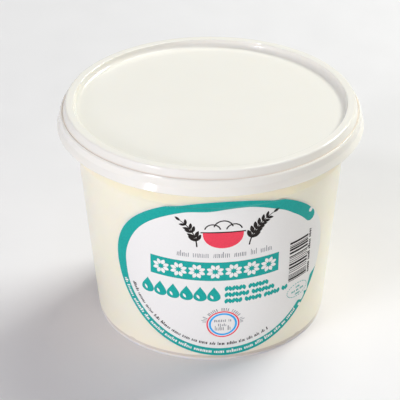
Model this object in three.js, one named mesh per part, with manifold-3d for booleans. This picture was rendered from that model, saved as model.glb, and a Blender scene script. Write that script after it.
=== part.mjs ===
// A shut round plastic tub of soft white cheese, with its push-on lid and one large stuck-on label.
//
// Millimetres, +Z up. The origin is on the floor, on the tub's axis, and the label faces -Y.
// Tub and lid are turned shapes. The label is a thin skin cut from a shell that follows the wall.

import * as THREE from 'three';
import { mergeVertices } from 'three/addons/utils/BufferGeometryUtils.js';
import Module from 'manifold-3d';

// Driving dimensions of the whole pack.
const PACK_HEIGHT = 88;
const LID_RADIUS = 57.5;
const WALL_RADIUS_AT_FLOOR = 44.2; // the wall's cone, carried down to the floor
const WALL_SLOPE = 0.0857; // growth of the wall's radius per millimetre of height, about 5 degrees
const GAP = 0.3; // air kept between two pieces that touch
const SIDES = 72; // flat sides round every turned piece, which keeps the label parallel to the wall
const CORNER_STEPS = 3; // straight steps in a rounded corner

// Foot ring under the tub: a recessed band between the wall and a small lip on the floor.
const FOOT_INNER_RADIUS = 41.4;
const FOOT_RECESS_DEPTH = 1.4;
const LIP_RADIUS = 44.1;
const LIP_HEIGHT = 0.6;
const BAND_RADIUS = 43.8;
const BAND_TOP = 2.0;

// Collar: the step that lets empty tubs nest. It carries the rim that the lid grips.
const COLLAR_BOTTOM = 71.8;
const COLLAR_RADIUS = 52.0;
const COLLAR_SLOPE = 0.03;
const STEP_HEIGHT = 1.0;

// Lid, measured from the outside. DROP values go down from the top of the stacking ring.
const LID_WALL = 0.9;
const SKIRT_DROP = 8.8;
const SKIRT_RADIUS = 56.1; // just under the shoulder
const SKIRT_BAND_DROP = 6.2; // top of the slanted band that flares out to the skirt's lower edge
const SKIRT_BAND_RADIUS = 56.4;
const SHOULDER_DROP = 3.0;
const SHOULDER_RADIUS = 55.6;
const CREASE_DROP = 3.4; // the groove between the shoulder and the stacking ring
const CREASE_RADIUS = 55.1;
const RING_OUTER_RADIUS = 54.1;
const RING_INNER_RADIUS = 51.0;
const PANEL_RADIUS = 50.4;
const PANEL_DROP = 2.6;

// Label: unrolled to a plane it is an oval of two half ellipses, one above its widest line and one below.
// A distance round the wall is the azimuth times LABEL_ROLL, counted from the front, -Y, towards +X.
const LABEL_THICKNESS = 0.3;
const LABEL_ROLL = 48;
const LABEL_CENTRE = 5.5; // distance round the wall
const LABEL_WIDEST_HEIGHT = 40;
const LABEL_HALF_WIDTH = 43.8;
const LABEL_RISE = 34.3; // top of the oval above its widest line
const LABEL_FALL = 37.7; // bottom of the oval below its widest line
const LABEL_STEPS = 64;
const BRIDGE_BOTTOM = 69.6; // where the label leaves the wall to lie over the collar's step

const SKIRT_BOTTOM = PACK_HEIGHT - SKIRT_DROP;
const SKIRT_BAND = PACK_HEIGHT - SKIRT_BAND_DROP;
const SHOULDER = PACK_HEIGHT - SHOULDER_DROP;
const CREASE = PACK_HEIGHT - CREASE_DROP;
const PANEL = PACK_HEIGHT - PANEL_DROP;
const PANEL_UNDERSIDE = PANEL - LID_WALL;

const wasm = await Module();
wasm.setup();

// The wall's outer radius at a height above the floor.
function wallRadius(height) {
  return WALL_RADIUS_AT_FLOOR + WALL_SLOPE * height;
}

// The collar's outer radius at a height above the floor.
function collarRadius(height) {
  return COLLAR_RADIUS + COLLAR_SLOPE * (height - COLLAR_BOTTOM);
}

// Turns corners given as [radius, height, fillet] into profile points, with an arc at each filleted corner.
function rounded(corners) {
  const points = [];
  corners.forEach(([radius, height, fillet = 0], index) => {
    const corner = new THREE.Vector2(radius, height);
    if (fillet === 0) {
      points.push(corner);
      return;
    }
    const before = new THREE.Vector2(...corners[index - 1].slice(0, 2)).sub(corner).normalize();
    const after = new THREE.Vector2(...corners[index + 1].slice(0, 2)).sub(corner).normalize();
    const halfAngle = Math.acos(THREE.MathUtils.clamp(before.dot(after), -1, 1)) / 2;
    const reach = fillet / Math.tan(halfAngle);
    const arc = new THREE.QuadraticBezierCurve(
      corner.clone().addScaledVector(before, reach),
      corner,
      corner.clone().addScaledVector(after, reach),
    );
    points.push(...arc.getPoints(CORNER_STEPS));
  });
  return points;
}

// A closed body turned from a profile that starts and ends on the axis, or closes on itself.
function turned(profile) {
  const geometry = new THREE.LatheGeometry(profile, SIDES);
  geometry.rotateX(Math.PI / 2);
  return toGeometry(toSolid(geometry));
}

// A manifold-3d solid from a closed three.js geometry.
function toSolid(geometry) {
  const bare = geometry.clone();
  bare.deleteAttribute('normal');
  bare.deleteAttribute('uv');
  const merged = mergeVertices(bare, 1e-4);
  const corners = merged.index.array;
  const triangles = [];
  for (let i = 0; i < corners.length; i += 3) {
    const [a, b, c] = [corners[i], corners[i + 1], corners[i + 2]];
    if (a !== b && b !== c && c !== a) triangles.push(a, b, c);
  }
  if (enclosedVolume(merged.attributes.position, triangles) < 0) triangles.reverse();
  return new wasm.Manifold(new wasm.Mesh({
    numProp: 3,
    vertProperties: new Float32Array(merged.attributes.position.array),
    triVerts: new Uint32Array(triangles),
  }));
}

// Six times the volume that triangles enclose: negative if they face inwards.
function enclosedVolume(positions, triangles) {
  const [a, b, c] = [new THREE.Vector3(), new THREE.Vector3(), new THREE.Vector3()];
  let total = 0;
  for (let i = 0; i < triangles.length; i += 3) {
    a.fromBufferAttribute(positions, triangles[i]);
    b.fromBufferAttribute(positions, triangles[i + 1]);
    c.fromBufferAttribute(positions, triangles[i + 2]);
    total += a.dot(b.cross(c));
  }
  return total;
}

// A three.js geometry from a manifold-3d solid.
function toGeometry(solid) {
  const mesh = solid.getMesh();
  const geometry = new THREE.BufferGeometry();
  geometry.setAttribute('position', new THREE.BufferAttribute(mesh.vertProperties, 3));
  geometry.setIndex(new THREE.BufferAttribute(mesh.triVerts, 1));
  geometry.computeVertexNormals();
  return geometry;
}

// Tub and contents, as one solid: the foot ring, the tapered wall, the collar, and the rim inside the lid.
function makeTub() {
  const flangeRadius = SKIRT_RADIUS - LID_WALL - GAP;
  const flangeBottom = SKIRT_BOTTOM + 1.2;
  const fill = PANEL_UNDERSIDE - GAP;
  const lipOuter = RING_OUTER_RADIUS - LID_WALL - GAP;
  const lipInner = RING_INNER_RADIUS + LID_WALL + GAP;
  const lipTop = PACK_HEIGHT - LID_WALL - GAP;
  return turned(rounded([
    [0, FOOT_RECESS_DEPTH],
    [FOOT_INNER_RADIUS, FOOT_RECESS_DEPTH, 0.5],
    [FOOT_INNER_RADIUS + 0.3, 0],
    [LIP_RADIUS - 0.2, 0],
    [LIP_RADIUS, 0.2],
    [LIP_RADIUS, LIP_HEIGHT],
    [BAND_RADIUS, LIP_HEIGHT + 0.2],
    [BAND_RADIUS + 0.1, BAND_TOP],
    [wallRadius(BAND_TOP), BAND_TOP + 0.3],
    [wallRadius(COLLAR_BOTTOM - STEP_HEIGHT), COLLAR_BOTTOM - STEP_HEIGHT],
    [COLLAR_RADIUS, COLLAR_BOTTOM, 0.5],
    [collarRadius(flangeBottom - 0.6), flangeBottom - 0.6],
    [flangeRadius - 0.4, flangeBottom],
    [flangeRadius, flangeBottom + 0.5],
    [flangeRadius - 0.2, SHOULDER - 2.2],
    [lipOuter + 0.8, fill - 0.6],
    [lipOuter, fill + 0.6],
    [lipOuter - 0.2, lipTop - 0.3],
    [lipInner + 0.1, lipTop - 0.3],
    [lipInner, fill],
    [0, fill],
  ]));
}

// Lid: a flat panel in a raised hollow ring, a groove round that, a rounded shoulder, and a flared skirt.
function makeLid() {
  const insideSkirt = LID_RADIUS - LID_WALL;
  const ringRoof = PACK_HEIGHT - LID_WALL;
  return turned(rounded([
    [0, PANEL],
    [PANEL_RADIUS, PANEL, 0.4],
    [RING_INNER_RADIUS, PACK_HEIGHT, 0.6],
    [RING_OUTER_RADIUS, PACK_HEIGHT, 0.9],
    [CREASE_RADIUS, CREASE],
    [SHOULDER_RADIUS, SHOULDER],
    [SKIRT_RADIUS, SHOULDER - 0.7, 0.5],
    [SKIRT_BAND_RADIUS, SKIRT_BAND],
    [LID_RADIUS, SKIRT_BOTTOM + 0.3],
    [LID_RADIUS - 0.2, SKIRT_BOTTOM],
    [insideSkirt, SKIRT_BOTTOM],
    [SKIRT_BAND_RADIUS - LID_WALL, SKIRT_BAND],
    [SKIRT_RADIUS - LID_WALL, SHOULDER - 1.7],
    [CREASE_RADIUS - LID_WALL, SHOULDER - LID_WALL],
    [RING_OUTER_RADIUS - LID_WALL, ringRoof],
    [RING_INNER_RADIUS + LID_WALL, ringRoof],
    [RING_INNER_RADIUS + LID_WALL - 0.3, PANEL_UNDERSIDE],
    [0, PANEL_UNDERSIDE],
  ]));
}

// The label's outline as seen from straight in front of it, as a flat shape of [sideways, height].
function labelShape() {
  const outline = [];
  for (let step = 0; step < LABEL_STEPS; step += 1) {
    const turn = (2 * Math.PI * step) / LABEL_STEPS;
    const reach = Math.sin(turn) > 0 ? LABEL_RISE : LABEL_FALL;
    const height = LABEL_WIDEST_HEIGHT + reach * Math.sin(turn);
    const azimuth = (LABEL_HALF_WIDTH * Math.cos(turn)) / LABEL_ROLL;
    outline.push(new THREE.Vector2(wallRadius(height) * Math.sin(azimuth), height));
  }
  return new THREE.Shape(outline);
}

// Label: a shell that follows the wall and lies over the collar's step, cut to the outline.
function makeLabel() {
  const low = BAND_TOP;
  const high = 76;
  const track = [
    [wallRadius(low), low],
    [wallRadius(BRIDGE_BOTTOM), BRIDGE_BOTTOM],
    [COLLAR_RADIUS, COLLAR_BOTTOM - 0.2],
    [collarRadius(high), high],
  ];
  const inside = track.map(([radius, height]) => new THREE.Vector2(radius + GAP, height));
  const outside = track.map(([radius, height]) => new THREE.Vector2(radius + GAP + LABEL_THICKNESS, height));
  const shell = new THREE.LatheGeometry([...outside, ...inside.reverse(), outside[0]], SIDES);
  shell.rotateX(Math.PI / 2);

  const cutter = new THREE.ExtrudeGeometry(labelShape(), { depth: LID_RADIUS, bevelEnabled: false, steps: 1 });
  cutter.rotateX(Math.PI / 2); // the shape's height turns to +Z, and the extrusion runs towards -Y
  cutter.rotateZ(LABEL_CENTRE / LABEL_ROLL);
  return toGeometry(toSolid(shell).intersect(toSolid(cutter)));
}

function piece(name, geometry, color, roughness) {
  const material = new THREE.MeshStandardMaterial({ color, roughness, metalness: 0 });
  const mesh = new THREE.Mesh(geometry, material);
  mesh.name = name;
  return mesh;
}

const group = new THREE.Group();
group.add(
  piece('tub', makeTub(), 0xf1ead8, 0.42),
  piece('lid', makeLid(), 0xf4f2ec, 0.3),
  piece('label', makeLabel(), 0xebe9e7, 0.6),
);

export default group;
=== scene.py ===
"""Looks of a shut tub of soft white cheese: milky tub, white lid and a printed paper label.

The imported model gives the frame, in metres, with +Z up and the label facing -Y. Shapes are worked out
in millimetres, because all of them are small, and turned into metres where a mesh is made.
"""

import math
import random

import bpy
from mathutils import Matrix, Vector


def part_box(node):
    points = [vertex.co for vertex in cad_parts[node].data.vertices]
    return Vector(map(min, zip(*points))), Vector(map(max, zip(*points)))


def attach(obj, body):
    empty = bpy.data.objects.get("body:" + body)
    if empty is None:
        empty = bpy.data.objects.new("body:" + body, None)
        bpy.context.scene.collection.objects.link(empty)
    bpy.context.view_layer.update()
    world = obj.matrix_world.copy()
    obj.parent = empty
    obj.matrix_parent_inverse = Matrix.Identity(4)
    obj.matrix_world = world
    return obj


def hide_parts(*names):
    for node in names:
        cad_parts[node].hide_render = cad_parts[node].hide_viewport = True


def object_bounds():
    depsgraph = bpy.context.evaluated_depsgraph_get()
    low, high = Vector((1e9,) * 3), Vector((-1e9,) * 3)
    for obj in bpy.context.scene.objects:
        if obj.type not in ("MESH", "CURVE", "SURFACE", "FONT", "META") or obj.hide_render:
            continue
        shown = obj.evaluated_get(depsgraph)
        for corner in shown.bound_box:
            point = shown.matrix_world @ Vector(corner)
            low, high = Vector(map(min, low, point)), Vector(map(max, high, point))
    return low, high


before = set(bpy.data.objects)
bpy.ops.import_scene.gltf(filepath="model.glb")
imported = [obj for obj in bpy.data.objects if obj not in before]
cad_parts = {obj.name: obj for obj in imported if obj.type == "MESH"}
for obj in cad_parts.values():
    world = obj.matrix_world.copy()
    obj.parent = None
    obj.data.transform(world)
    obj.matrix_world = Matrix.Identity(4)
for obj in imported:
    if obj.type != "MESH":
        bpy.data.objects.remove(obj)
cad_low, cad_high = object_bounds()

MM = 0.001

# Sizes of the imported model.
PACK_HEIGHT = cad_high.z / MM
LID_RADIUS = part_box("lid")[1].x / MM

# The tub's outside: foot ring, tapered wall, and the collar that the lid's skirt hangs round.
WALL_RADIUS_AT_FLOOR = 44.2
WALL_SLOPE = 0.0857
FOOT_INNER_RADIUS = 41.4
FOOT_RECESS_DEPTH = 1.4
LIP_RADIUS = 44.1
LIP_HEIGHT = 0.6
BAND_RADIUS = 43.8
BAND_TOP = 2.0
NOTCH_AZIMUTHS = (-42, 48, 138, 228)  # degrees from the front, where the foot's band reaches higher
NOTCH_WIDTH = 2.2
NOTCH_RISE = 0.6
NOTCH_RAMP = 0.6  # how far its sides slope out, as a share of half its width
COLLAR_BOTTOM = 71.8
COLLAR_RADIUS = 52.0
COLLAR_SLOPE = 0.03
STEP_HEIGHT = 1.0

# The lid.
LID_WALL = 0.9
SKIRT_BOTTOM = PACK_HEIGHT - 8.8
SKIRT_RADIUS = 56.1  # just under the shoulder
SKIRT_BAND = PACK_HEIGHT - 6.2  # top of the slanted band that flares out to the skirt's lower edge
SKIRT_BAND_RADIUS = 56.4
SHOULDER = PACK_HEIGHT - 3.0
SHOULDER_RADIUS = 55.6
CREASE = PACK_HEIGHT - 3.4  # the groove between the shoulder and the stacking ring
CREASE_RADIUS = 55.1
RING_OUTER_RADIUS = 54.1
RING_INNER_RADIUS = 51.0
PANEL_RADIUS = 50.4
PANEL = PACK_HEIGHT - 2.6
GAP = 0.3  # between the tub and the lid
GROOVE_SHADE_REACH = 0.6  # how far the painted warm shade reaches from the groove's bottom

# The label, unrolled: a distance round the wall is the azimuth times LABEL_ROLL, from the front towards +X.
LABEL_ROLL = 48
LABEL_CENTRE = (5.5, 40)
LABEL_HALF_WIDTH = 43.8
LABEL_RISE = 34.3
LABEL_FALL = 37.7
BRIDGE = (69.6, 72.2)  # heights between which the label crosses the collar's step
PAPER_LIFT = 0.14  # paper's face above the wall
PAPER_THICKNESS = 0.1
INK_LIFT = 0.03  # each layer of ink above what is under it
PAPER_WHITE = (0.89, 0.886, 0.85)

# The print's layout, in distances from its middle line and from the floor.
BANNER_LEFT, BANNER_RIGHT = -28.1, 20.6
BANNER_BOTTOM, BANNER_TOP = 38.0, 46.4
DAISY_COUNT, DAISY_RADIUS = 7, 3.3
DROP_CENTRES = [(-29.4 + 5.05 * k, 31.8) for k in range(6)]
GARLANDS = ((16.4, 6), (19.2, 7), (25.2, 5))  # right end, and leaves between two gaps
GARLAND_TOP, GARLAND_PITCH, GARLAND_HEIGHT = 33.0, 2.9, 2.5
BOWL, BOWL_RADIUS = (-1.0, 59.6), 7.4  # middle of the bowl's rim
HEAPS = ((-3.9, 0.8, 2.9), (0, 1.8, 3.5), (3.9, 0.8, 2.9))  # aside, above the rim, radius
BADGE = (-0.6, 17.5)
SEAL = (30.5, 24.1)
BARS_LEFT, BARS_RIGHT = 25.6, 34.9
BARS_BOTTOM, BARS_TOP = 29.8, 48.5

# Camera, matched to the photograph, in its 400 x 400 frame.
PHOTO_SIZE = 400
FOCAL_PIXELS = 1700
CAMERA_ELEVATION = 31.15  # degrees
CAMERA_DISTANCE = 658.6
AIM_HEIGHT = 38.7
AIM_PIXEL = (210.5, 211.7)  # where the aim point shows

FLOOR_SIZE = 3000
LIGHT_AIM_HEIGHT = 40


# ---------------------------------------------------------------- meshes

def rounded(corners, steps=8):
    """Profile points from corners (radius, height, fillet), with a curve at each filleted corner."""
    points = []
    for index, corner in enumerate(corners):
        here = Vector(corner[:2])
        if len(corner) == 2:
            points.append(here)
            continue
        before = (Vector(corners[index - 1][:2]) - here).normalized()
        after = (Vector(corners[index + 1][:2]) - here).normalized()
        reach = corner[2] / math.tan(before.angle(after) / 2)
        start, end = here + before * reach, here + after * reach
        for step in range(steps + 1):
            t = step / steps
            points.append(start * (1 - t) ** 2 + here * 2 * t * (1 - t) + end * t ** 2)
    return points


def supported(points, near=0.25, longest=5):
    """The same profile with extra points near the ends of its long stretches, so that they shade flat."""
    result = [points[0]]
    for a, b in zip(points, points[1:]):
        length = (b - a).length
        if length > 4 * near:
            inner = [near, length - near]
            count = math.ceil(length / longest)
            inner += [length * k / count for k in range(1, count)]
            result += [a.lerp(b, d / length) for d in sorted(inner)]
        result.append(b)
    return result


def even_angles(count, fine_at=(), fine_width=0, fine_steps=8):
    """Angles in radians round the axis, with extra ones across each fine_width degrees about fine_at."""
    degrees = {round(360 * k / count, 4) for k in range(count)}
    for centre in fine_at:
        for k in range(-fine_steps, fine_steps + 1):
            degrees.add(round((centre + fine_width * k / fine_steps) % 360, 4))
    return [math.radians(d) for d in sorted(degrees)]


def mesh_object(name, vertices, faces, sharp_degrees=40):
    """An object with a smooth mesh. Vertices are in millimetres."""
    mesh = bpy.data.meshes.new(name)
    mesh.from_pydata([Vector(v) * MM for v in vertices], [], faces)
    mesh.shade_smooth()
    mesh.set_sharp_from_angle(angle=math.radians(sharp_degrees))
    made = bpy.data.objects.new(name, mesh)
    bpy.context.scene.collection.objects.link(made)
    return made


def turned(name, profile_at, angles):
    """A closed body turned round Z. profile_at(angle) gives a profile that starts and ends on the axis."""
    vertices, faces, rings = [], [], []
    first = profile_at(angles[0])
    for index in range(len(first)):
        if first[index].x < 1e-6:
            rings.append([len(vertices)])
            vertices.append((0, 0, first[index].y))
            continue
        rings.append(list(range(len(vertices), len(vertices) + len(angles))))
        vertices += [None] * len(angles)
    for column, angle in enumerate(angles):
        for ring, point in zip(rings, profile_at(angle)):
            if len(ring) > 1:
                radius, height = point
                vertices[ring[column]] = (radius * math.sin(angle), -radius * math.cos(angle), height)
    for lower, upper in zip(rings, rings[1:]):
        for k in range(len(angles)):
            n = (k + 1) % len(angles)
            near = [lower[k % len(lower)], lower[n % len(lower)]]
            far = [upper[n % len(upper)], upper[k % len(upper)]]
            faces.append(tuple(dict.fromkeys(near + far)))
    return mesh_object(name, vertices, faces)


# ---------------------------------------------------------------- the tub and the lid

def wall_radius(height):
    return WALL_RADIUS_AT_FLOOR + WALL_SLOPE * height


def collar_radius(height):
    return COLLAR_RADIUS + COLLAR_SLOPE * (height - COLLAR_BOTTOM)


def tub_profile(angle):
    """The tub's section at an angle from the front. The foot's band reaches higher in its four notches."""
    notch = 0
    for azimuth in NOTCH_AZIMUTHS:
        off = abs((math.degrees(angle) - azimuth + 180) % 360 - 180)
        half_width = math.degrees(NOTCH_WIDTH / 2 / LIP_RADIUS)
        notch = max(notch, min(1, max(0, 1 + NOTCH_RAMP - off / half_width)))
    band_top = BAND_TOP + NOTCH_RISE * notch
    flange_radius = SKIRT_RADIUS - LID_WALL - GAP
    flange_bottom = SKIRT_BOTTOM + 1.2
    fill = PANEL - LID_WALL - GAP
    lip_outer = RING_OUTER_RADIUS - LID_WALL - GAP
    lip_inner = RING_INNER_RADIUS + LID_WALL + GAP
    lip_top = PACK_HEIGHT - LID_WALL - GAP
    return supported(rounded([
        (0, FOOT_RECESS_DEPTH),
        (FOOT_INNER_RADIUS, FOOT_RECESS_DEPTH, 0.5),
        (FOOT_INNER_RADIUS + 0.3, 0, 0.15),
        (LIP_RADIUS - 0.05, 0, 0.2),
        (LIP_RADIUS, LIP_HEIGHT, 0.12),
        (BAND_RADIUS, LIP_HEIGHT + 0.25, 0.12),
        (BAND_RADIUS + 0.1, band_top, 0.1),
        (wall_radius(band_top), band_top + 0.3, 0.15),
        (wall_radius(COLLAR_BOTTOM - STEP_HEIGHT), COLLAR_BOTTOM - STEP_HEIGHT, 0.5),
        (COLLAR_RADIUS, COLLAR_BOTTOM, 0.5),
        (collar_radius(flange_bottom - 0.6), flange_bottom - 0.6, 0.4),
        (flange_radius - 0.4, flange_bottom),
        (flange_radius, flange_bottom + 0.5),
        (flange_radius - 0.2, SHOULDER - 2.2),
        (lip_outer + 0.8, fill - 0.6),
        (lip_outer, fill + 0.6),
        (lip_outer - 0.2, lip_top - 0.3),
        (lip_inner + 0.1, lip_top - 0.3),
        (lip_inner, fill),
        (0, fill),
    ]))


def lid_profile(_angle):
    """The lid's section: flat panel, raised hollow ring, groove, shoulder and flared skirt."""
    underside = PANEL - LID_WALL
    ring_roof = PACK_HEIGHT - LID_WALL
    return supported(rounded([
        (0, underside),
        (RING_INNER_RADIUS + LID_WALL - 0.3, underside),
        (RING_INNER_RADIUS + LID_WALL, ring_roof, 0.2),
        (RING_OUTER_RADIUS - LID_WALL, ring_roof, 0.2),
        (CREASE_RADIUS - LID_WALL, SHOULDER - LID_WALL),
        (SKIRT_RADIUS - LID_WALL, SHOULDER - 1.7),
        (SKIRT_BAND_RADIUS - LID_WALL, SKIRT_BAND),
        (LID_RADIUS - LID_WALL, SKIRT_BOTTOM),
        (LID_RADIUS, SKIRT_BOTTOM, 0.25),
        (SKIRT_BAND_RADIUS, SKIRT_BAND, 0.4),
        (SKIRT_RADIUS, SHOULDER - 0.6, 0.6),
        (SHOULDER_RADIUS, SHOULDER, 0.12),
        (CREASE_RADIUS + 0.1, CREASE + 0.15, 0.05),
        (RING_OUTER_RADIUS, PACK_HEIGHT, 1.0),
        (RING_INNER_RADIUS, PACK_HEIGHT, 0.5),
        (PANEL_RADIUS, PANEL, 2.2),
        (0, PANEL),
    ]))


# ---------------------------------------------------------------- the label and its print

def eased(x):
    """0 to 1 with a soft start and end, for x from 0 to 1."""
    x = min(1, max(0, x))
    return x * x * (3 - 2 * x)


def paper_radius(height):
    """Radius of the paper's face: it follows the wall and lies over the collar's step in one soft bend."""
    share = eased((height - BRIDGE[0]) / (BRIDGE[1] - BRIDGE[0]))
    return wall_radius(height) * (1 - share) + collar_radius(height) * share + PAPER_LIFT


def on_label(point, lift=0):
    """The place in space of a point (distance round, height) of the unrolled label."""
    azimuth = point[0] / LABEL_ROLL
    radius = paper_radius(point[1]) + lift
    return (radius * math.sin(azimuth), -radius * math.cos(azimuth), point[1])


def wrapped(point):
    """A point of the flat print, from its middle line and the floor, on the unrolled wall.

    The wall is a cone, so that a level line of print curves up towards both ends.
    """
    half_angle = math.atan(WALL_SLOPE)
    above_tip = WALL_RADIUS_AT_FLOOR / math.sin(half_angle) + point[1] / math.cos(half_angle)
    from_tip = math.hypot(point[0], above_tip)
    azimuth = math.atan2(point[0], above_tip) / math.sin(half_angle)
    height = (from_tip * math.sin(half_angle) - WALL_RADIUS_AT_FLOOR) / WALL_SLOPE
    return Vector((LABEL_CENTRE[0] + azimuth * LABEL_ROLL, height))


def label_edge(turn, inset=0):
    """A point of the paper's edge, or inset millimetres inside it. turn goes round the oval in degrees."""
    c, s = math.cos(math.radians(turn)), math.sin(math.radians(turn))
    reach = LABEL_RISE if s > 0 else LABEL_FALL
    normal = Vector((c * reach, s * LABEL_HALF_WIDTH)).normalized()
    edge = Vector(LABEL_CENTRE) + Vector((LABEL_HALF_WIDTH * c, reach * s))
    return edge - normal * inset


def ribbon(edge_a, edge_b, rows=1):
    """A strip of flat faces between two lines of the same number of points, as (points, faces)."""
    columns = len(edge_a)
    points = []
    for row in range(rows + 1):
        points += [Vector(a).lerp(Vector(b), row / rows) for a, b in zip(edge_a, edge_b)]
    faces = []
    for row in range(rows):
        for k in range(columns - 1):
            first = row * columns + k
            faces.append((first, first + 1, first + columns + 1, first + columns))
    return points, faces


def printed(name, layer, material, flat=(), edge=()):
    """One printed colour. flat strips lie on the flat print, edge strips already on the unrolled wall."""
    strips = [([wrapped(p) for p in points], faces) for points, faces in flat] + list(edge)
    vertices, faces = [], []
    for points, strip_faces in strips:
        base = len(vertices)
        vertices += [on_label(p, INK_LIFT * layer) for p in points]
        faces += [tuple(base + i for i in face) for face in strip_faces]
    made = mesh_object(name, vertices, faces, 180)
    made.data.materials.append(material)
    return made


def span(start, end, step):
    """Evenly spaced numbers from start to end, no further apart than step."""
    count = max(1, math.ceil(abs(end - start) / step))
    return [start + (end - start) * k / count for k in range(count + 1)]


def box(left, right, bottom, top):
    """An upright box of print."""
    across = span(left, right, 1.5)
    rows = max(1, math.ceil((top - bottom) / 1.5))
    return ribbon([(x, bottom) for x in across], [(x, top) for x in across], rows)


def disc(centre, radius, steps=24):
    """A filled circle."""
    turns = [math.pi * k / steps for k in range(steps + 1)]
    upper = [(centre[0] - radius * math.cos(t), centre[1] + radius * math.sin(t)) for t in turns]
    lower = [(centre[0] - radius * math.cos(t), centre[1] - radius * math.sin(t)) for t in turns]
    return ribbon(lower, upper, 4)


def arc(centre, radius, width, start=0, end=360):
    """A round line of some width, from one angle to another in degrees."""
    turns = [math.radians(t) for t in span(start, end, 5)]
    inner, outer = radius - width / 2, radius + width / 2
    return ribbon(
        [(centre[0] + inner * math.cos(t), centre[1] + inner * math.sin(t)) for t in turns],
        [(centre[0] + outer * math.cos(t), centre[1] + outer * math.sin(t)) for t in turns],
    )


def leaf(root, direction, length, width, steps=10):
    """A pointed leaf that starts at root. direction is in degrees."""
    along = Vector((math.cos(math.radians(direction)), math.sin(math.radians(direction))))
    aside = Vector((-along.y, along.x))
    left, right = [], []
    for k in range(steps + 1):
        t = k / steps
        half = width / 2 * math.sin(math.pi * t) ** 0.8
        middle = Vector(root) + along * length * t
        left.append(middle + aside * half)
        right.append(middle - aside * half)
    return ribbon(left, right, 2)


def stroke(points, width, end_width=None):
    """A pen line through points, tapering to end_width."""
    end_width = width if end_width is None else end_width
    path = [Vector(p) for p in points]
    left, right = [], []
    for k, point in enumerate(path):
        ahead = path[min(k + 1, len(path) - 1)] - path[max(k - 1, 0)]
        aside = Vector((-ahead.y, ahead.x)).normalized()
        half = (width + (end_width - width) * k / (len(path) - 1)) / 2
        left.append(point + aside * half)
        right.append(point - aside * half)
    return ribbon(left, right)


def bowed(start, end, sag, steps=12):
    """Points of a line from start to end that bows aside by sag at its middle."""
    a, b = Vector(start), Vector(end)
    aside = Vector((-(b - a).y, (b - a).x)).normalized()
    shares = [k / steps for k in range(steps + 1)]
    return [a.lerp(b, t) + aside * sag * 4 * t * (1 - t) for t in shares]


# ---------------------------------------------------------------- materials

def new_material(name):
    """A new material, its node tree and its shader."""
    material = bpy.data.materials.new(name)
    material.use_nodes = True
    tree = material.node_tree
    return material, tree, tree.nodes["Principled BSDF"]


def noise(tree, scale, detail=3, roughness=0.5):
    """Noise that is fixed to the object, its scale in features for each metre."""
    place = tree.nodes.new("ShaderNodeTexCoord")
    texture = tree.nodes.new("ShaderNodeTexNoise")
    texture.inputs["Scale"].default_value = scale
    texture.inputs["Detail"].default_value = detail
    texture.inputs["Roughness"].default_value = roughness
    tree.links.new(place.outputs["Object"], texture.inputs["Vector"])
    return texture.outputs["Fac"]


def ramp(tree, value, stops):
    """A colour ramp over value. stops are (position, colour)."""
    node = tree.nodes.new("ShaderNodeValToRGB")
    elements = node.color_ramp.elements
    while len(elements) < len(stops):
        elements.new(0.5)
    for element, (position, colour) in zip(elements, stops):
        element.position = position
        element.color = (*colour, 1)
    tree.links.new(value, node.inputs["Fac"])
    return node.outputs["Color"]


def mapped(tree, value, low, high):
    """value, which runs from 0.35 to 0.65 as a noise does, mapped to low..high."""
    node = tree.nodes.new("ShaderNodeMapRange")
    node.inputs["From Min"].default_value = 0.35
    node.inputs["From Max"].default_value = 0.65
    node.inputs["To Min"].default_value = low
    node.inputs["To Max"].default_value = high
    tree.links.new(value, node.inputs["Value"])
    return node.outputs["Result"]


def bump(tree, shader, value, strength, distance):
    """A fine relief on the shader. distance is in metres."""
    node = tree.nodes.new("ShaderNodeBump")
    node.inputs["Strength"].default_value = strength
    node.inputs["Distance"].default_value = distance
    tree.links.new(value, node.inputs["Height"])
    tree.links.new(node.outputs["Normal"], shader.inputs["Normal"])


def shade(colour, factor):
    """A colour made lighter or darker."""
    return tuple(min(1, c * factor) for c in colour)


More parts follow.
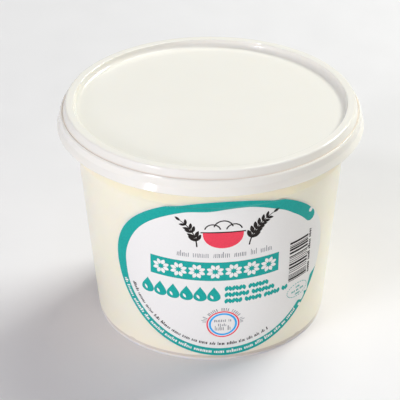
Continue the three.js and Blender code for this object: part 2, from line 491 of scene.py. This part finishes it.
def tub_plastic():
    """Milky plastic with white cheese behind it: soft cream, with light painted in by height: a yellower
    collar as a painted glow of light through the wall, painted shade up under the lid, a foot rim lighter
    than the band as a painted highlight, and a foot band darker partly as painted shade.
    """
    material, tree, shader = new_material("tub_plastic")
    place = tree.nodes.new("ShaderNodeTexCoord")
    split = tree.nodes.new("ShaderNodeSeparateXYZ")
    tree.links.new(place.outputs["Object"], split.inputs["Vector"])
    height = tree.nodes.new("ShaderNodeMapRange")
    height.inputs["From Min"].default_value = 0
    height.inputs["From Max"].default_value = PACK_HEIGHT * MM
    tree.links.new(split.outputs["Z"], height.inputs["Value"])
    # cream is the wall's own colour; collar is yellower as a painted glow of light shining through the wall
    # below the lid, and the darker stop near the top is painted shade under the lid's skirt
    cream, collar = (0.995, 0.90, 0.738), (0.99, 0.882, 0.68)
    # the foot's rim is made lighter than the band as a painted highlight where it catches light; the band
    # is darker tan, partly the hollow foot with no cheese behind it and partly painted shade near the floor
    lip, band = (0.98, 0.92, 0.83), (0.76, 0.67, 0.57)
    by_height = ramp(tree, height.outputs["Result"], [  # places are shares of the pack's height
        (0.0, lip),
        (LIP_HEIGHT / PACK_HEIGHT, lip),
        ((LIP_HEIGHT + 0.3) / PACK_HEIGHT, band),
        (BAND_TOP / PACK_HEIGHT, band),
        ((BAND_TOP + 0.5) / PACK_HEIGHT, cream),
        (0.78, cream),
        (0.83, collar),
        (0.93, shade(collar, 0.95)),
    ])
    mottle = tree.nodes.new("ShaderNodeMix")
    mottle.data_type = "RGBA"
    mottle.blend_type = "MULTIPLY"
    mottle.inputs["Factor"].default_value = 1
    tree.links.new(by_height, mottle.inputs["A"])
    uneven = ramp(tree, noise(tree, 45, 2), [(0.3, (0.975, 0.975, 0.965)), (0.7, (1, 1, 1))])
    tree.links.new(uneven, mottle.inputs["B"])
    tree.links.new(mottle.outputs["Result"], shader.inputs["Base Color"])
    tree.links.new(mapped(tree, noise(tree, 70, 2), 0.28, 0.34), shader.inputs["Roughness"])
    bump(tree, shader, noise(tree, 120, 2), 0.08, 0.0002)
    shader.inputs["Subsurface Weight"].default_value = 0.85
    shader.inputs["Subsurface Radius"].default_value = (1, 0.85, 0.6)
    shader.inputs["Subsurface Scale"].default_value = 0.0025
    shader.inputs["IOR"].default_value = 1.49
    return material


def groove_distance(tree):
    """How far a point is from the bottom of the lid's groove: 0 at it, and 1 from the painted shade's reach
    on.
    """
    place = tree.nodes.new("ShaderNodeTexCoord")
    split = tree.nodes.new("ShaderNodeSeparateXYZ")
    tree.links.new(place.outputs["Object"], split.inputs["Vector"])
    flat = tree.nodes.new("ShaderNodeCombineXYZ")
    tree.links.new(split.outputs["X"], flat.inputs["X"])
    tree.links.new(split.outputs["Y"], flat.inputs["Y"])
    radius = tree.nodes.new("ShaderNodeVectorMath")
    radius.operation = "LENGTH"
    tree.links.new(flat.outputs["Vector"], radius.inputs[0])
    section = tree.nodes.new("ShaderNodeCombineXYZ")
    tree.links.new(radius.outputs["Value"], section.inputs["X"])
    tree.links.new(split.outputs["Z"], section.inputs["Y"])
    away = tree.nodes.new("ShaderNodeVectorMath")
    away.operation = "DISTANCE"
    away.inputs[1].default_value = (CREASE_RADIUS * MM, (CREASE + 0.15) * MM, 0)
    tree.links.new(section.outputs["Vector"], away.inputs[0])
    reach = tree.nodes.new("ShaderNodeMapRange")
    reach.inputs["From Min"].default_value = 0
    reach.inputs["From Max"].default_value = GROOVE_SHADE_REACH * MM
    tree.links.new(away.outputs["Value"], reach.inputs["Value"])
    return reach.outputs["Result"]


def lid_plastic():
    """Opaque white moulded plastic with a satin gloss, and a warm brown painted shade down in the groove.
    """
    material, tree, shader = new_material("lid_plastic")
    # groove is a painted shade: near the groove's bottom the colour is darker and browner, for the shade in
    # that corner
    white, groove = (0.898, 0.883, 0.803), (0.86, 0.79, 0.69)
    mottle = ramp(tree, noise(tree, 35, 3), [(0.3, shade(white, 0.985)), (0.7, white)])
    groove_shade_mix = tree.nodes.new("ShaderNodeMix")
    groove_shade_mix.data_type = "RGBA"
    groove_shade_mix.inputs["A"].default_value = (*groove, 1)
    outside = ramp(tree, groove_distance(tree), [(0.3, (0, 0, 0)), (1, (1, 1, 1))])
    tree.links.new(outside, groove_shade_mix.inputs["Factor"])
    tree.links.new(mottle, groove_shade_mix.inputs["B"])
    tree.links.new(groove_shade_mix.outputs["Result"], shader.inputs["Base Color"])
    tree.links.new(mapped(tree, noise(tree, 60, 2), 0.09, 0.12), shader.inputs["Roughness"])
    bump(tree, shader, noise(tree, 90, 2), 0.04, 0.0002)
    shader.inputs["Subsurface Weight"].default_value = 0.25
    shader.inputs["Subsurface Radius"].default_value = (1, 0.9, 0.75)
    shader.inputs["Subsurface Scale"].default_value = 0.0012
    shader.inputs["IOR"].default_value = 1.49
    shader.inputs["Specular IOR Level"].default_value = 0.35
    return material


def coated_paper(name, colour, grain):
    """Smooth matt coated paper, or ink on it: a fine mottle in colour and gloss."""
    material, tree, shader = new_material(name)
    mottle = [(0.35, shade(colour, 1 - grain)), (0.65, shade(colour, 1 + grain))]
    tree.links.new(ramp(tree, noise(tree, 1800, 4, 0.7), mottle), shader.inputs["Base Color"])
    tree.links.new(mapped(tree, noise(tree, 1400, 2), 0.5, 0.6), shader.inputs["Roughness"])
    bump(tree, shader, noise(tree, 2500, 3), 0.1, 0.00005)
    shader.inputs["IOR"].default_value = 1.45
    shader.inputs["Specular IOR Level"].default_value = 0.2
    return material


def floor_finish():
    """Matt white board."""
    material, tree, shader = new_material("floor")
    white = (0.80, 0.80, 0.80)
    mottle = ramp(tree, noise(tree, 25, 4), [(0.3, shade(white, 0.985)), (0.7, white)])
    tree.links.new(mottle, shader.inputs["Base Color"])
    tree.links.new(mapped(tree, noise(tree, 60, 3), 0.5, 0.6), shader.inputs["Roughness"])
    bump(tree, shader, noise(tree, 1500, 3), 0.1, 0.0001)
    return material


# ---------------------------------------------------------------- the print's parts

def band_width(turn):
    """Width of the sea-green border at a turn round the oval, eased between a few widths."""
    widths = [(35, 4.7), (48, 4.7), (60, 4.2), (80, 3.6), (98, 4.9), (112, 3.9), (130, 3.9), (160, 4.5),
              (180, 4.2), (200, 3.4), (270, 3.5), (323, 3.0), (324.5, 0.7), (327.5, 0.8), (329.4, 1.9),
              (330.6, 0.3), (335, 1.7), (340, 2.3), (346, 0.05)]
    for (t0, w0), (t1, w1) in zip(widths, widths[1:]):
        if turn <= t1:
            return w0 + (w1 - w0) * eased((turn - t0) / (t1 - t0))
    return widths[-1][1]


def border():
    """A brushed border: a round tip at the upper right, then over the top and the left to a torn tail."""
    tip_turn, tip_length, tail_turn = 35, 5.5, 346
    margin = 0.15
    outer, inner = [], []
    for turn in span(tip_turn - tip_length, tail_turn, 0.75):
        width = band_width(turn)
        closing = math.sqrt(1 - max(0, (tip_turn - turn) / tip_length) ** 2)
        outer.append(label_edge(turn, margin + width * (1 - closing) / 2))
        inner.append(label_edge(turn, margin + width * (1 + closing) / 2))
    return ribbon(outer, inner, 14)


def small_print(line, height, seed, word=(3, 8), mark=(0.3, 0.75), gap=(0.18, 0.3)):
    """A row of tiny marks along a line, grouped as words are, with no letters.

    line(distance) gives the point and the upright direction there, or None past the line's end.
    """
    draw = random.Random(seed)
    strips, distance, left_in_word = [], 0, draw.randint(*word)
    while True:
        here = line(distance)
        if here is None:
            return strips
        point, up = here
        along = Vector((up.y, -up.x))
        width = draw.uniform(*mark)
        tall = height * draw.choice((0.62, 0.66, 0.7, 0.7, 1.0))
        lean = along * draw.uniform(-0.1, 0.15)
        a, b = point, point + along * width
        strips.append(ribbon([a, b], [a + up * tall + lean, b + up * tall + lean]))
        distance += width + draw.uniform(*gap)
        left_in_word -= 1
        if left_in_word == 0:
            distance += height * 0.5
            left_in_word = draw.randint(*word)


def centred_rows(centre, first, pitch, rows, seed, *marks):
    """Rows of tiny marks, one under another, the first above the centre. rows are (half width, height)."""
    strips = []
    for row, (half, height) in enumerate(rows):
        y = centre[1] + first - pitch * row
        line = straight_line((centre[0] - half, y), (centre[0] + half, y))
        strips += small_print(line, height, seed + row, *marks)
    return strips


def straight_line(start, end):
    """A row of print from one point to another, for small_print."""
    start, end = Vector(start), Vector(end)
    length = (end - start).length
    along = (end - start) / length
    up = Vector((-along.y, along.x))
    return lambda distance: (start + along * distance, up) if distance < length else None


def edge_line(start_turn, end_turn, inset):
    """A row of print that follows the lower edge of the label, for small_print."""
    points = [label_edge(turn, inset) for turn in span(start_turn, end_turn, 0.5)]
    lengths = [0]
    for a, b in zip(points, points[1:]):
        lengths.append(lengths[-1] + (b - a).length)

    def line(distance):
        if distance >= lengths[-2]:
            return None
        k = next(i for i, far in enumerate(lengths) if far > distance)
        along = (points[k] - points[k - 1]).normalized()
        point = points[k - 1] + along * (distance - lengths[k - 1])
        return point, Vector((-along.y, along.x))
    return line


def round_line(centre, radius, start, end):
    """A row of print round a circle, clockwise, for small_print."""
    def line(distance):
        turn = start - math.degrees(distance / radius)
        if turn < end:
            return None
        up = Vector((math.cos(math.radians(turn)), math.sin(math.radians(turn))))
        return Vector(centre) + up * radius, up
    return line


def sprig(root, tip, sag, leaves, leaf_length, leaf_width):
    """A bowed stem with leaves on both sides and one at its tip."""
    path = bowed(root, tip, sag, 16)
    strips = [stroke(path, 0.55, 0.3)]
    for k in range(leaves):
        at = 3 + round(k * 12 / leaves)
        ahead = path[at + 1] - path[at]
        heading = math.degrees(math.atan2(ahead.y, ahead.x))
        size = 1 - 0.35 * k / leaves
        for side in (-1, 1):
            strips.append(leaf(path[at], heading + side * 42, leaf_length * size, leaf_width * size))
    ahead = path[-1] - path[-2]
    heading = math.degrees(math.atan2(ahead.y, ahead.x))
    strips.append(leaf(path[-1], heading, leaf_length * 0.7, leaf_width * 0.7))
    return strips


def drop(centre, width, height, steps=20):
    """A drop with its point up."""
    left, right = [], []
    for k in range(steps + 1):
        turn = math.pi * k / steps
        half = width * 0.71 * math.sin(turn) * math.sin(turn / 2) ** 1.5
        y = centre[1] + height / 2 * math.cos(turn)
        left.append((centre[0] - half, y))
        right.append((centre[0] + half, y))
    return ribbon(left, right, 3)


def daisy(centre, radius, petals=8):
    """Petals round an open middle."""
    strips = []
    for k in range(petals):
        direction = 360 * (k + 0.5) / petals
        away = Vector((math.cos(math.radians(direction)), math.sin(math.radians(direction))))
        root = Vector(centre) + away * radius * 0.26
        strips.append(leaf(root, direction, radius * 0.74, radius * 0.46))
    return strips


def garland(left, right, bottom, height, run):
    """A row of leaves that lean left and right in turn, with a gap after each run of them."""
    strips, at, count = [], left + 0.5, 0
    while at < right - 0.5:
        lean = 14 if count % 2 else -14
        root = (at + height / 2 * math.sin(math.radians(lean)), bottom)
        strips.append(leaf(root, 90 + lean, height, height * 0.58))
        count += 1
        at += height * (0.95 if count % run == 0 else 0.52)
    return strips


def uneven_bars(left, right, bottom, top, seed):
    """Bars of uneven thickness, one over another, as a scanner reads them."""
    draw = random.Random(seed)
    thin = 0.3
    strips, at = [], bottom
    while at < top - thin:
        thick = thin * draw.choice((1, 1, 2, 3))
        strips.append(box(left, right, at, min(top, at + thick)))
        at += thick + thin * draw.choice((1, 1, 1, 2, 3))
    return strips


def dashed_oval(centre, half_width, half_height, width, dashes):
    """An oval line of short dashes."""
    strips = []
    for k in range(dashes):
        turns = [math.radians(360 * (k + share) / dashes) for share in (0, 0.2, 0.4, 0.6)]
        across = [centre[0] + half_width * math.cos(t) for t in turns]
        up = [centre[1] + half_height * math.sin(t) for t in turns]
        strips.append(stroke(list(zip(across, up)), width))
    return strips


# ---------------------------------------------------------------- pieces

def made_for(piece, slot, *nodes):
    """Puts a piece under the one body, and hides the CAD nodes that it stands for."""
    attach(piece, "root")
    if nodes:
        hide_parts(*nodes)


def make_tub():
    fine = math.degrees(NOTCH_WIDTH / LIP_RADIUS)
    tub = turned("tub_wall", tub_profile, even_angles(240, NOTCH_AZIMUTHS, fine, 10))
    tub.data.materials.append(tub_plastic())
    made_for(tub, "tub_plastic", "tub")


def make_lid():
    lid = turned("lid_shell", lid_profile, even_angles(288))
    lid.data.materials.append(lid_plastic())
    made_for(lid, "lid_plastic", "lid")


def make_paper():
    turns = span(180, 0, 1.5)
    upper = [label_edge(turn) for turn in turns]
    lower = [label_edge(360 - turn) for turn in turns]
    points, faces = ribbon(lower, upper, 300)
    faces = [face for face in faces if len({tuple(points[i]) for i in face}) > 2]
    paper = mesh_object("label_sheet", [on_label(p) for p in points], faces, 180)
    skin = paper.modifiers.new("thickness", "SOLIDIFY")
    skin.thickness = PAPER_THICKNESS * MM
    skin.offset = -1
    paper.data.materials.append(coated_paper("label_paper", PAPER_WHITE, 0.01))
    made_for(paper, "label_paper", "label")


def green_print():
    """Banner, drops, rows of leaves and the dashed seal."""
    strips = [box(BANNER_LEFT, BANNER_RIGHT, BANNER_BOTTOM, BANNER_TOP)]
    strips += [drop(centre, 5.0, 6.8) for centre in DROP_CENTRES]
    for row, (right, run) in enumerate(GARLANDS):
        strips += garland(0, right, GARLAND_TOP - GARLAND_PITCH * row, GARLAND_HEIGHT, run)
    strips += dashed_oval(SEAL, 5.2, 3.1, 0.3, 26)
    rows = ((0.8, 1.2), (3.0, 1.2), (1.1, 1.2))
    strips += centred_rows(SEAL, 0.9, 1.6, rows, 60, (2, 4), (0.3, 0.6))
    return strips


def white_print():
    """Daisies on the banner and a glint in each drop."""
    margin = 4.2
    pitch = (BANNER_RIGHT - BANNER_LEFT - 2 * margin) / (DAISY_COUNT - 1)
    strips = []
    for k in range(DAISY_COUNT):
        centre = (BANNER_LEFT + margin + k * pitch, (BANNER_BOTTOM + BANNER_TOP) / 2)
        strips += daisy(centre, DAISY_RADIUS)
    for centre in DROP_CENTRES:
        strips.append(leaf((centre[0] - 1.2, centre[1] - 0.4), -62, 2.1, 0.9))
    return strips


def white_on_border():
    """Small print along the border, and a spot near each of its ends."""
    strips = small_print(edge_line(194, 318, 1.3), 1.6, 31, (3, 9), (0.3, 0.7))
    return strips + [disc(label_edge(37, 0.9), 0.95), disc(label_edge(321.5, 0.8), 0.75)]


def coral_print():
    """The bowl and the badge's outer ring."""
    turns = [math.pi * k / 20 for k in range(21)]
    across = [BOWL[0] - BOWL_RADIUS * math.cos(t) for t in turns]
    rim = [(x, BOWL[1]) for x in across]
    belly = [(x, BOWL[1] - 6.8 * math.sin(t) ** 0.8) for x, t in zip(across, turns)]
    return [ribbon(belly, rim, 4), arc(BADGE, 5.9, 0.55)]


def dark_print():
    """Two sprigs, the bowl's rim and its heaps, bars, and the small print up beside them."""
    strips = sprig((BOWL[0] - 9.5, 53.2), (BOWL[0] - 15.5, 64.2), -1.6, 5, 3.6, 1.5)
    strips += sprig((BOWL[0] + 9.5, 53.2), (BOWL[0] + 18.5, 65.2), 2.0, 6, 4.0, 1.7)
    rim_left, rim_right = (BOWL[0] - 8.2, BOWL[1] + 0.1), (BOWL[0] + 8.2, BOWL[1] + 0.1)
    strips.append(stroke(bowed(rim_left, rim_right, 0.15), 0.5))
    for aside, above, radius in HEAPS:
        strips.append(arc((BOWL[0] + aside, BOWL[1] + above), radius, 0.5, 15, 165))
    strips += uneven_bars(BARS_LEFT, BARS_RIGHT, BARS_BOTTOM, BARS_TOP, 8)
    beside_bars = straight_line((36.5, 29.5), (36.5, 49.5))
    return strips + small_print(beside_bars, 1.5, 44, (3, 6), (0.5, 0.9))


def grey_print():
    """Small print under the bowl, over the badge and inside it."""
    under_bowl = straight_line((-17.8, 48.5), (18.3, 48.5))
    strips = small_print(under_bowl, 2.6, 41, (4, 9), (0.22, 0.34), (0.3, 0.5))
    over_badge = round_line(BADGE, 6.4, 172, 2)
    strips += small_print(over_badge, 1.9, 42, (4, 7), (0.22, 0.4), (0.3, 0.45))
    rows = ((3.3, 1.6), (1.8, 1.2), (3.0, 2.2))
    return strips + centred_rows(BADGE, 1.1, 2.0, rows, 50, (4, 7), (0.22, 0.4), (0.25, 0.4))


def make_print():
    """The label's print, one piece for each colour, on layers of ink."""
    sea_green = coated_paper("ink_sea_green", (0.012, 0.40, 0.355), 0.10)
    white = coated_paper("ink_white", PAPER_WHITE, 0.01)
    coral = coated_paper("ink_coral", (0.90, 0.065, 0.11), 0.05)
    blue = coated_paper("ink_blue", (0.03, 0.43, 0.90), 0.05)
    dark = coated_paper("ink_dark", (0.022, 0.017, 0.015), 0.15)
    grey = coated_paper("ink_grey", (0.30, 0.30, 0.32), 0.08)
    along_border = small_print(edge_line(196, 298, 5.2), 1.5, 33, (3, 8), (0.22, 0.5))
    pieces = [
        printed("print_green", 1, sea_green, green_print(), [border()]),
        printed("print_white", 2, white, white_print(), white_on_border()),
        printed("print_coral", 1, coral, coral_print()),
        printed("print_blue", 1, blue, [arc(BADGE, 4.87, 0.75)]),
        printed("print_dark", 1, dark, dark_print(), along_border),
        printed("print_grey", 1, grey, grey_print()),
    ]
    for piece in pieces:
        made_for(piece, "label_paper")


# ---------------------------------------------------------------- stage, lights and camera

def make_floor():
    steps = 8
    vertices = [((i / steps - 0.5) * FLOOR_SIZE, (j / steps - 0.5) * FLOOR_SIZE, 0)
                for j in range(steps + 1) for i in range(steps + 1)]
    corners = [j * (steps + 1) + i for j in range(steps) for i in range(steps)]
    faces = [(k, k + 1, k + steps + 2, k + steps + 1) for k in corners]
    floor = mesh_object("floor", vertices, faces)
    floor.data.materials.append(floor_finish())


def make_light(name, azimuth, elevation, distance, size, power, colour):
    """A softbox that faces the tub. Azimuth is counted from the front towards +X, lengths are in metres."""
    light = bpy.data.lights.new(name, "AREA")
    light.shape = "RECTANGLE"
    light.size, light.size_y = size
    light.energy = power
    light.color = colour
    holder = bpy.data.objects.new(name, light)
    a, e = math.radians(azimuth), math.radians(elevation)
    back = Vector((math.sin(a) * math.cos(e), -math.cos(a) * math.cos(e), math.sin(e)))
    holder.location = back * distance + Vector((0, 0, LIGHT_AIM_HEIGHT * MM))
    holder.rotation_euler = (-back).to_track_quat("-Z", "Y").to_euler()
    bpy.context.scene.collection.objects.link(holder)


def make_lights():
    make_light("key", 132, 38, 1.6, (0.8, 0.45), 20.3, (0.99, 1, 0.97))
    make_light("key_above", 152, 62, 1.6, (0.45, 0.45), 4.4, (0.97, 1, 0.93))
    make_light("front", 0, 14, 1.8, (1.8, 1.0), 6.4, (1, 0.955, 1))
    make_light("left", -45, 20, 1.8, (1.4, 1.0), 7.2, (0.90, 0.885, 1))
    make_light("right", 95, 22, 1.8, (0.9, 0.8), 2.1, (1, 0.86, 0.72))
    make_light("window", -42, 16, 1.6, (0.15, 0.24), 5.5, (0.95, 0.935, 1))
    make_light("window_above", -48, 46, 1.6, (0.2, 0.2), 3.0, (0.95, 0.935, 1))
    make_light("ceiling", -20, 78, 1.8, (1.2, 1.2), 3.2, (0.92, 0.905, 1))
    world = bpy.data.worlds.new("world")
    world.use_nodes = True
    world.node_tree.nodes["Background"].inputs["Color"].default_value = (0.965, 0.945, 1, 1)
    world.node_tree.nodes["Background"].inputs["Strength"].default_value = 0.132
    bpy.context.scene.world = world
    bpy.context.scene.view_settings.view_transform = "Standard"


def make_camera():
    camera = bpy.data.cameras.new("camera")
    camera.sensor_width = 36
    camera.lens = FOCAL_PIXELS / PHOTO_SIZE * camera.sensor_width
    camera.shift_x = -(AIM_PIXEL[0] - PHOTO_SIZE / 2) / PHOTO_SIZE
    camera.shift_y = (AIM_PIXEL[1] - PHOTO_SIZE / 2) / PHOTO_SIZE
    holder = bpy.data.objects.new("camera", camera)
    elevation = math.radians(CAMERA_ELEVATION)
    holder.location = Vector((
        0,
        -CAMERA_DISTANCE * math.cos(elevation),
        AIM_HEIGHT + CAMERA_DISTANCE * math.sin(elevation),
    )) * MM
    holder.rotation_euler = (math.pi / 2 - elevation, 0, 0)
    bpy.context.scene.collection.objects.link(holder)
    bpy.context.scene.camera = holder


make_camera()
make_floor()
make_lights()
make_tub()
make_lid()
make_paper()
make_print()
